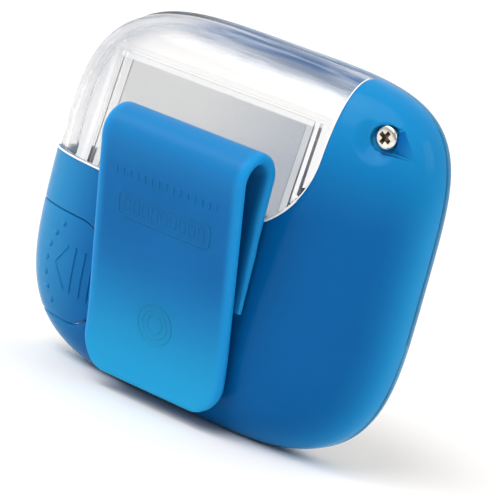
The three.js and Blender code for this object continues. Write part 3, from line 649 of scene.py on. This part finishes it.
def cover_shape(p):
    """The cover's crown with the fan, the dish round the horn screw and the pad under the clip's root."""
    out = p.copy()
    plan = p[:, [0, 2]]
    screw = np.array((HORN_SCREW[0], HORN_SCREW[2]))
    square = across(*FAN_FAR)
    slope = np.clip((plan - FAN_FAR[0]) @ square / ((screw - FAN_FAR[0]) @ square), 0, FAN_DEEPEST)
    rear = p[:, 1] > PARTING_Y + 1
    wall = np.clip(fan_distance(p) / FAN_WALL, 0, 1)
    out[:, 1] -= np.where(rear, FAN_DEPTH * slope * wall, 0)
    ring = np.hypot(plan[:, 0] - screw[0], plan[:, 1] - screw[1])
    dish = smoothstep((DISH - ring) / (DISH - POCKET))
    out[:, 1] -= np.where(rear, np.maximum(p[:, 1] - DISH_Y, 0) * dish * DISH_SHARE, 0)
    beside = CLIP_HALF - PAD_INSET - np.abs(plan[:, 0] - CLIP_X)
    inside_z = np.minimum(plan[:, 1] - ROOT_BOTTOM + PAD_BELOW, COVER_EDGE_Z - 2 * GAP - plan[:, 1])
    pad = smoothstep(np.minimum(beside, inside_z) / PAD_SLOPE + PAD_START)
    out[:, 1] += np.where(rear, np.maximum(ROOT_Y - GAP - p[:, 1], 0) * pad, 0)
    return out


REAR, FRONT = 1, -1
points, faces = shell(
    REAR, 0.0, COVER_WALL, cover_field, edge=0.35, cuts=110, shape=cover_shape,
    pockets=[(x, z, y) for x, y, z in (HORN_SCREW, CLIP_SCREW)],
    creases=[(fan_distance, 0.0), (fan_distance, FAN_WALL)],
)
make("rear_cover_shell", points, faces, blue_gloss, "case", ["rear_cover"], 28)
points, faces = shell(REAR, PROUD, WINDOW_WALL, window_field, edge=0.3, cuts=90)
make("rear_window_shell", points, faces, window_clear, "case", ["rear_window"], 50)
points, faces = shell(REAR, 0.0, DOOR_WALL, door_field, edge=0.3, cuts=110)
make("battery_door_shell", points, faces, blue_gloss, "door", ["battery_door"], 50)
points, faces = shell(FRONT, 0.0, FRONT_WALL, front_field, edge=0.35, cuts=80)
make("front_shell_dish", points, faces, front_clear, "case", ["front_shell"], 50)

# ---- belt clip -------------------------------------------------------------------------------------

BAR_EDGE = 0.85  # the strip's long edges are rounded by up to this
BAR_FLAT, BAR_ROUND = 28, 6  # mesh columns over a flat side and over a rounded edge
ROOT_CUT, ROOT_SUNK = 7.0, 0.4  # where the rigid root meets the bending strip; how far it starts in the pad
ROOT_STEP, ROOT_STEP_LENGTH = 1.0, 1.5  # the root thickens to reach the cover, below the window's edge
TIP_THIN = 0.05
LEAF_DOWN = (-math.sin(LEAF_TILT), -math.cos(LEAF_TILT))
LEAF_OUT = (math.cos(LEAF_TILT), -math.sin(LEAF_TILT))


def strip(stations):
    """Sweeps a flat bar with rounded edges along its stations.

    A station is (centre y, z), (normal y, z), half thickness, half width."""
    points, rows = [], []
    for centre, normal, half, wide in stations:
        radius = min(half, BAR_EDGE)
        flat = wide - radius
        section = []
        for side in (1, -1):
            for k in range(BAR_FLAT + 1):
                section.append((side * (1 - 2 * k / BAR_FLAT) * flat, side * half))
            for k in range(1, BAR_ROUND):
                a = math.pi * k / BAR_ROUND
                section.append((-side * (flat + radius * math.sin(a)), side * half * math.cos(a)))
        rows.append(range(len(points), len(points) + len(section)))
        for x, out in section:
            points.append((CLIP_X + x, centre[0] + normal[0] * out, centre[1] + normal[1] * out))
    faces = []
    for a, b in zip(rows, rows[1:]):
        n = len(a)
        faces += [[a[k], a[(k + 1) % n], b[(k + 1) % n], b[k]] for k in range(n)]
    return points, faces + [list(rows[0])[::-1], list(rows[-1])]


def root_station(z):
    """A cross-section of the root, which lies along the cover and thins out downwards."""
    share = np.clip((z - ROOT_BOTTOM) / (ROOT_TAPER - ROOT_BOTTOM), 0, 1)
    thick = ROOT_THIN + (CLIP_THICK - ROOT_THIN) * share
    front = ROOT_Y - GAP * smoothstep((COVER_EDGE_Z - ROOT_STEP - z) / ROOT_STEP_LENGTH)
    rear = ROOT_Y + thick
    return ((front + rear) / 2, z), (-1.0, 0.0), (rear - front) / 2, CLIP_HALF


def fold_station(angle):
    """A cross-section of the fold, which turns from the root, at pi, over the top to the leaf."""
    out = (math.cos(angle), math.sin(angle))
    middle = FOLD_R - CLIP_THICK / 2
    return (FOLD_Y + middle * out[0], FOLD_Z + middle * out[1]), out, CLIP_THICK / 2, CLIP_HALF


LEAF_START = fold_station(-LEAF_TILT)[0]
LEAF_LENGTH = (LEAF_START[1] - LEAF_BOTTOM) / -LEAF_DOWN[1]


def leaf_station(run):
    """A cross-section of the leaf, run millimetres below the fold."""
    z = LEAF_START[1] + LEAF_DOWN[1] * run
    share = np.clip((FLARE_Z - z) / (FLARE_Z - LEAF_BOTTOM), 0, 1)
    y = LEAF_START[0] + LEAF_DOWN[0] * run + FLARE * share ** 2
    left = max(LEAF_LENGTH - run, 0.0)
    wide = CLIP_HALF
    if left < TIP_RADIUS:
        wide -= TIP_RADIUS - math.sqrt(TIP_RADIUS ** 2 - (TIP_RADIUS - left) ** 2)
    half = CLIP_THICK / 2
    if left < half:
        half = max(math.sqrt(half ** 2 - (half - left) ** 2), TIP_THIN)
    return (float(y), float(z)), LEAF_OUT, half, wide


straight = LEAF_LENGTH - TIP_RADIUS
runs = list(np.linspace(0, 1, 40)[1:] * straight)
runs += [straight + TIP_RADIUS * math.sin(t) for t in np.linspace(0, math.pi / 2, 22)[1:]]
stations = [root_station(z) for z in np.linspace(ROOT_CUT, FOLD_Z, 5)]
stations += [fold_station(a) for a in np.linspace(math.pi, -LEAF_TILT, 44)[1:]]
stations += [leaf_station(run) for run in runs]
points, faces = strip(stations)
clip_strip = make("clip_strip", points, faces[:-2] + faces[-1:], blue_satin, None, [], 60)
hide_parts("clip_leaf", "clip_root")
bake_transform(clip_strip)
points, faces = strip([root_station(z) for z in np.linspace(ROOT_BOTTOM - ROOT_SUNK, ROOT_CUT, 30)])
make("clip_root_leaf", points, faces[:-1], blue_satin, "case", [], 60)

# ---- raised marks ----------------------------------------------------------------------------------

BADGE_RUN, BADGE_HALF_WIDTH, BADGE_HALF_HEIGHT, BADGE_RADIUS = 9.0, 8.6, 1.9, 0.9
BLOCKS, BLOCK_PITCH, BLOCK_HALF_WIDTH, BLOCK_HALF_HEIGHT, BLOCK_RADIUS = 9, 1.75, 0.55, 1.0, 0.3
PIPS, PIP_PITCH, PIP_TOP, PIP_BOTTOM = 15, 1.35, 3.5, 4.6
RINGS, RING_RUN, RING_RADIUS, RING_STEP = 3, 26.0, 3.2, 0.9
DOTS, DOT_ARC, DOT_STEP, DOT_RADIUS, DOT_RISE = 7, 8.7, 15, 0.48, 0.32
DOT_MIDDLE = (18.3, -14.0)
ARROW = [(22.4, -10.8), (24.8, -14.0), (22.0, -17.6)]
BARS, BAR_TOP, BAR_BOTTOM = (20.6, 18.4, 16.6), -10.6, -17.8


def on_leaf(run, x, lift):
    """A point of the leaf's rear face, x from its middle line, raised by lift."""
    centre, normal, half, _ = leaf_station(run)
    out = half + lift
    return Vector((CLIP_X + x, centre[0] + normal[0] * out, centre[1] + normal[1] * out))


def bead(name, path, radius, material, body, closed=False):
    """A low rounded ridge along a line of points that lie on a surface."""
    curve = bpy.data.curves.new(name, "CURVE")
    curve.dimensions = "3D"
    curve.bevel_depth = radius * MM
    curve.bevel_resolution = 2
    curve.use_fill_caps = True
    spline = curve.splines.new("POLY")
    spline.points.add(len(path) - 1)
    for point, place in zip(spline.points, path):
        point.co = (*(place * MM), 1)
    spline.use_cyclic_u = closed
    holder = bpy.data.objects.new(name, curve)
    bpy.context.scene.collection.objects.link(holder)
    mesh = bpy.data.meshes.new_from_object(holder.evaluated_get(bpy.context.evaluated_depsgraph_get()))
    bpy.data.objects.remove(holder)
    mesh.materials.clear()
    mesh.materials.append(material)
    for polygon in mesh.polygons:
        polygon.use_smooth = True
    obj = bpy.data.objects.new(name, mesh)
    bpy.context.scene.collection.objects.link(obj)
    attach(obj, body)


def rounded_outline(half_w, half_h, radius, steps=7):
    """A closed rectangle with round corners, as (x, z) points round its middle."""
    outline = []
    for cx, cz, start in ((1, 1, 0), (-1, 1, 90), (-1, -1, 180), (1, -1, 270)):
        for k in range(steps + 1):
            a = math.radians(start + 90 * k / steps)
            x = cx * (half_w - radius) + radius * math.cos(a)
            outline.append((x, cz * (half_h - radius) + radius * math.sin(a)))
    return outline


def polyline(corners, step=0.4):
    """Points along straight lines between corners, step apart."""
    path = []
    for a, b in zip(corners, corners[1:]):
        count = max(2, int(math.dist(a, b) / step))
        path += [(a[0] + (b[0] - a[0]) * k / count, a[1] + (b[1] - a[1]) * k / count) for k in range(count)]
    return path + [corners[-1]]


def dome(name, centre, normal, radius, rise, material, body):
    """A low round bump."""
    bm = bmesh.new()
    bmesh.ops.create_uvsphere(bm, u_segments=20, v_segments=12, radius=radius * MM)
    bm.transform(Matrix.Diagonal((1, 1, rise / radius, 1)))
    bm.transform(normal.to_track_quat("Z", "Y").to_matrix().to_4x4())
    bm.transform(Matrix.Translation(centre * MM))
    from_bmesh(name, bm, material, body, ())


def clip_mark(name, outline, run, x, lift, radius):
    """A closed ridge on the leaf."""
    path = [on_leaf(run - dz, x + dx, lift) for dx, dz in outline]
    bead(name, path, radius, blue_satin, "clip", True)


def door_mark(name, corners, radius):
    """An open ridge on the door."""
    path = [on_crown(x, z, -0.05) for x, z in polyline(corners)]
    bead(name, path, radius, blue_gloss, "door", False)


badge = rounded_outline(BADGE_HALF_WIDTH, BADGE_HALF_HEIGHT, BADGE_RADIUS)
clip_mark("clip_badge_outline", badge, BADGE_RUN, 0, -0.10, 0.2)
block = rounded_outline(BLOCK_HALF_WIDTH, BLOCK_HALF_HEIGHT, BLOCK_RADIUS, 3)
for k in range(BLOCKS):
    clip_mark(f"clip_badge_block_{k}", block, BADGE_RUN, (k - BLOCKS // 2) * BLOCK_PITCH, -0.08, 0.14)
for k in range(PIPS):
    ends = [on_leaf(run, (k - PIPS // 2) * PIP_PITCH, -0.07) for run in (PIP_BOTTOM, PIP_TOP)]
    bead(f"clip_pip_{k}", ends, 0.16, blue_satin, "clip", False)
for k in range(RINGS):
    size = RING_RADIUS - RING_STEP * k
    clip_mark(f"clip_grip_ring_{k}", rounded_outline(size, size, size - 0.01), RING_RUN, 0, -0.1, 0.18)
for k in range(DOTS):
    a = math.radians(DOT_STEP * (k - DOTS // 2))
    x, z = DOT_MIDDLE[0] + DOT_ARC * math.cos(a), DOT_MIDDLE[1] + DOT_ARC * math.sin(a)
    dome(
        f"door_dot_{k}", on_crown(x, z, -0.03), crown_normal(x, z), DOT_RADIUS, DOT_RISE,
        blue_gloss, "door",
    )
door_mark("door_arrow", ARROW, 0.22)
for k, x in enumerate(BARS):
    door_mark(f"door_bar_{k}", [(x, BAR_TOP), (x, BAR_BOTTOM)], 0.26)

# ---- seam highlight and fan shade ------------------------------------------------------------------

SEAM_START, SEAM_TOP = 33.2, 28.1  # x and z where the painted highlight along the window's edge ends
SEAM_SPLIT = math.pi / 3  # it thins this far up the round
CREASE_START = (-25.6, 19.62)
FLOOR_NEAR = [np.array(corner) for corner in ((-27.0, 19.75), (-26.8, 22.95))]
FLOOR_COLUMNS, FLOOR_ROWS, FLOOR_MARGIN, FLOOR_LIFT = 12, 10, 0.04, 0.03


def seam_round(angle):
    """A point of the round between the cover's upper edge and its horn."""
    return HORN_X + FILLET - FILLET * math.sin(angle), COVER_EDGE_Z + FILLET - FILLET * math.cos(angle)


def fan_shade_sheet():
    """A thin sheet painted with shade over the fan's floor, darker by the screw pocket; it follows the
    cover's own shape.
    """
    points, faces = [], []
    for i in range(FLOOR_COLUMNS + 1):
        low, high = [a + (b - a) * i / FLOOR_COLUMNS for a, b in zip(FLOOR_NEAR, FAN_FAR)]
        for j in range(FLOOR_ROWS + 1):
            x, z = low + (high - low) * (FLOOR_MARGIN + (1 - 2 * FLOOR_MARGIN) * j / FLOOR_ROWS)
            sunk = cover_shape(np.array([on_crown(x, z, 0)]))[0]
            points.append((x, sunk[1] + FLOOR_LIFT, z))
    row = FLOOR_ROWS + 1
    for i in range(FLOOR_COLUMNS):
        for k in range(i * row, i * row + FLOOR_ROWS):
            faces.append([k, k + 1, k + row + 1, k + row])
    make("fan_shade_sheet", points, faces, blue_fan_shade, "case", ())


# painted highlight: near-white beads round the cover's upper edge and up beside its horn
lower = [(x, COVER_EDGE_Z) for x in np.linspace(SEAM_START, HORN_X + FILLET, 90)]
lower += [seam_round(t) for t in np.linspace(0, SEAM_SPLIT, 30)[1:]]
upper = [seam_round(t) for t in np.linspace(SEAM_SPLIT, math.pi / 2, 12)]
upper += [(HORN_X, z) for z in np.linspace(COVER_EDGE_Z + FILLET, SEAM_TOP, 40)[1:]]
for name, line, radius in (("window_seam_highlight_lower", lower, 0.16), ("window_seam_highlight_upper", upper, 0.09)):
    bead(name, [on_crown(x, z, 0.02) for x, z in line], radius, seam_highlight, "case", False)
# painted shade: dark beads along the fan's lower wall, thinner towards its far end
near, far = np.array(CREASE_START), FAN_FAR[0]
for k, (low, high, radius) in enumerate(((0.0, 0.55, 0.14), (0.5, 0.85, 0.08))):
    line = [on_crown(*(near + (far - near) * t), -0.05 - 0.35 * (1 - t)) for t in np.linspace(low, high, 14)]
    bead(f"fan_crease_shade_{k}", line, radius, blue_crease_shade, "case", False)
fan_shade_sheet()

# ---- screws and buttons ----------------------------------------------------------------------------

HEAD_RADIUS, HEAD_SIDE, HEAD_DOME, HEAD_ROUND = 1.78, 0.6, 0.32, 0.35
CROSS_ARM, CROSS_SLOT, CROSS_BOTTOM, CROSS_TOP, CROSS_TAPER = 1.2, 0.4, 0.15, 1.2, 0.5
THREAD_TURNS, THREAD_STEP, THREAD_ROOT, THREAD_CREST = 40, 0.19, 0.66, 0.9
THREAD_POINT, THREAD_TIP, THREAD_START = 8.2, 8.0, 7.6  # below the screw's place
CAP_FACE = [(0, 0.55), (1.2, 0.5), (2.0, 0.36), (2.5, 0.22), (2.8, 0.22), (3.0, 0.32), (3.1, 0.55)]
CAP_RADIUS, CAP_FLANGE, CAP_FLANGE_THICK, CAP_BEVEL = 3.1, 3.9, 0.8, 0.15


def lathe(bm, profile, steps=64):
    """Turns a profile of (radius, height) pairs round the Y axis; it starts and ends on the axis."""
    angles = [2 * math.pi * k / steps for k in range(steps)]
    rows = []
    for radius, height in profile:
        turned = angles if radius else angles[:1]
        places = [(radius * MM * math.cos(a), height * MM, radius * MM * math.sin(a)) for a in turned]
        rows.append([bm.verts.new(place) for place in places])
    for a, b in zip(rows, rows[1:]):
        for k in range(steps):
            ring = [a[k % len(a)], a[(k + 1) % len(a)], b[(k + 1) % len(b)], b[k % len(b)]]
            bm.faces.new(list(dict.fromkeys(ring)))
    bmesh.ops.recalc_face_normals(bm, faces=bm.faces)


def cut(obj, cutter):
    """Takes the cutter's form out of obj. The cut faces keep the cutter's material."""
    modifier = obj.modifiers.new("cut", "BOOLEAN")
    modifier.operation = "DIFFERENCE"
    modifier.solver = "EXACT"
    modifier.material_mode = "TRANSFER"
    modifier.object = cutter
    mesh = bpy.data.meshes.new_from_object(obj.evaluated_get(bpy.context.evaluated_depsgraph_get()))
    obj.modifiers.clear()
    obj.data = mesh
    mesh.set_sharp_from_angle(angle=math.radians(CREASE))
    bpy.data.objects.remove(cutter)


def cross_tool(turn, place):
    """A tapered cross, standing on +Y at place, that cuts a screw's recess."""
    quarter = [(CROSS_ARM, -CROSS_SLOT), (CROSS_ARM, CROSS_SLOT), (CROSS_SLOT, CROSS_SLOT)]
    quarter_turns = ((1, 0), (0, 1), (-1, 0), (0, -1))
    cross = [(x * c - y * s, x * s + y * c) for c, s in quarter_turns for x, y in quarter]
    tool = bmesh.new()
    rings = []
    for share, height in ((CROSS_TAPER, CROSS_BOTTOM), (1.0, CROSS_TOP)):
        rings.append([tool.verts.new(Vector((x * share, y * share, height)) * MM) for x, y in cross])
        tool.faces.new(rings[-1])
    lower, upper = rings
    for k in range(len(cross)):
        tool.faces.new([lower[k - 1], lower[k], upper[k], upper[k - 1]])
    tool.transform(Matrix.Rotation(turn, 4, "Z"))
    tool.transform(Matrix.Rotation(-math.pi / 2, 4, "X"))
    tool.transform(Matrix.Translation(place * MM))
    bmesh.ops.recalc_face_normals(tool, faces=tool.faces)
    return from_bmesh("tool", tool, recess)


def pan_screw(name, place, turn, node):
    """A pan-head screw with a cross recess and a thread. Its head seats just over the pocket's floor."""
    x, bottom, z = place
    seat = bottom + GAP
    profile = [(0, seat), (1.55, seat), (1.74, seat + 0.12), (1.8, seat + 0.35)]
    profile.append((HEAD_RADIUS, seat + HEAD_SIDE))
    for k in range(1, 8):
        a = math.radians(90 * k / 8)
        rise = seat + HEAD_SIDE + HEAD_DOME * math.sin(a)
        profile.append((HEAD_RADIUS * math.cos(a) ** HEAD_ROUND, rise))
    profile.append((0, seat + HEAD_SIDE + HEAD_DOME))
    bm = bmesh.new()
    lathe(bm, profile)
    bm.transform(Matrix.Translation(Vector((x, 0, z)) * MM))
    head = from_bmesh(name, bm, nickel)
    cut(head, cross_tool(turn, Vector((x, seat, z))))
    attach(head, "case")
    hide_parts(node)
    thread = [(0, bottom - THREAD_POINT), (0.35, bottom - THREAD_TIP)]
    for k in range(THREAD_TURNS):
        thread.append((THREAD_CREST if k % 2 else THREAD_ROOT, bottom - THREAD_START + k * THREAD_STEP))
    thread += [(0.7, seat + 0.1), (0, seat + 0.1)]
    bm = bmesh.new()
    lathe(bm, thread, 24)
    bm.transform(Matrix.Translation(Vector((x, 0, z)) * MM))
    from_bmesh(name + "_thread", bm, nickel, "case", ())


def button_cap(name, body, x):
    """A dished round cap with the flange that keeps it behind the front shell."""
    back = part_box(name)[1].y / MM
    flange = back - CAP_FLANGE_THICK
    inner = CAP_FLANGE - CAP_BEVEL
    profile = CAP_FACE + [(CAP_RADIUS, flange), (inner, flange), (CAP_FLANGE, flange + CAP_BEVEL)]
    profile += [(CAP_FLANGE, back - CAP_BEVEL), (inner, back), (0, back)]
    bm = bmesh.new()
    lathe(bm, profile, 72)
    bm.transform(Matrix.Translation(Vector((x, 0, BUTTON_Z)) * MM))
    from_bmesh(name + "_cap", bm, cap, body, [name])


pan_screw("horn_screw", HORN_SCREW, math.radians(62), "case_screw_horn")
pan_screw("clip_screw", CLIP_SCREW, math.radians(50), "case_screw_clip")
for name, body, x in zip(("mode_button", "set_button", "reset_button"), ("mode", "set", "reset"), BUTTON_X):
    button_cap(name, body, x)

# ---- stage, camera and light -----------------------------------------------------------------------

FLOOR_HALF, FLOOR_BELOW = 6.0, 0.0001
VIEW_AIM = (0.53878, -0.81892, -0.19773)
VIEW_RIGHT = (-0.766471, -0.591336, 0.250686)  # tilted, as the picture is
VIEW_PLACE = (-0.227698, 0.346681, 0.079495)
VIEW_LENS, VIEW_SENSOR = 200.0, 36.0
LIGHT_SIDE = (0.53, -0.83, 0.15)  # the studio is brightest in this direction
LIGHT_SIDE_START, LIGHT_SIDE_END = -0.8, 0.5
DARK_SIDE = (0.42, 0.42, 0.43)


def stage():
    bm = bmesh.new()
    bmesh.ops.create_grid(bm, x_segments=2, y_segments=2, size=FLOOR_HALF)
    bm.transform(Matrix.Translation((0, 0, cad_box[0].z - FLOOR_BELOW)))
    paper = surface(
        "paper", (0.885, 0.865, 0.84), (0.90, 0.88, 0.855), (0.6, 0.7), patches=3, grain=400, lift=0.01,
    )
    floor = from_bmesh("floor", bm, paper)


def camera():
    data = bpy.data.cameras.new("camera")
    data.lens, data.sensor_width = VIEW_LENS, VIEW_SENSOR
    data.clip_start, data.clip_end = 0.01, 50
    view = bpy.data.objects.new("camera", data)
    bpy.context.scene.collection.objects.link(view)
    bpy.context.scene.camera = view
    back = -Vector(VIEW_AIM).normalized()
    right = Vector(VIEW_RIGHT)
    right = (right - back * right.dot(back)).normalized()
    turn = Matrix((right, back.cross(right), back)).transposed().to_4x4()
    view.matrix_world = Matrix.Translation(VIEW_PLACE) @ turn


def sun(name, heading, strength, angle):
    light = bpy.data.lights.new(name, "SUN")
    light.energy, light.angle = strength, math.radians(angle)
    obj = bpy.data.objects.new(name, light)
    bpy.context.scene.collection.objects.link(obj)
    obj.rotation_euler = Vector(heading).to_track_quat("Z", "Y").to_euler()


def softbox(name, place, aim, width, height, power):
    light = bpy.data.lights.new(name, "AREA")
    light.shape = "RECTANGLE"
    light.size, light.size_y = width, height
    light.energy = power
    obj = bpy.data.objects.new(name, light)
    bpy.context.scene.collection.objects.link(obj)
    obj.location = place
    obj.rotation_euler = (Vector(aim) - Vector(place)).to_track_quat("-Z", "Y").to_euler()


def studio():
    """A white room that is greyer on the side behind the object."""
    world = bpy.data.worlds.new("studio")
    bpy.context.scene.world = world
    world.use_nodes = True
    tree = world.node_tree
    background = tree.nodes["Background"]
    background.inputs["Strength"].default_value = 1.0
    place = tree.nodes.new("ShaderNodeTexCoord")
    facing = tree.nodes.new("ShaderNodeVectorMath")
    facing.operation = "DOT_PRODUCT"
    facing.inputs[1].default_value = LIGHT_SIDE
    tree.links.new(place.outputs["Generated"], facing.inputs[0])
    ramp = tree.nodes.new("ShaderNodeValToRGB")
    stops = ramp.color_ramp.elements
    stops[0].position, stops[0].color = 0.0, (*DARK_SIDE, 1)
    stops[1].position, stops[1].color = 1.0, (1, 1, 1, 1)
    share = map_range(tree, facing.outputs["Value"], LIGHT_SIDE_START, LIGHT_SIDE_END)
    tree.links.new(share, ramp.inputs["Fac"])
    tree.links.new(ramp.outputs["Color"], background.inputs["Color"])


stage()
camera()
sun("overhead", (0.18, 0.62, 0.76), 1.9, 50)
softbox("key", (0.30, 0.30, 0.45), (0, 0.01, 0), 0.35, 0.25, 0.6)
softbox("rim", (-0.5, -0.05, 0.35), (0, 0, 0), 0.3, 0.3, 0.8)
studio()
bpy.context.scene.view_settings.view_transform = "Standard"
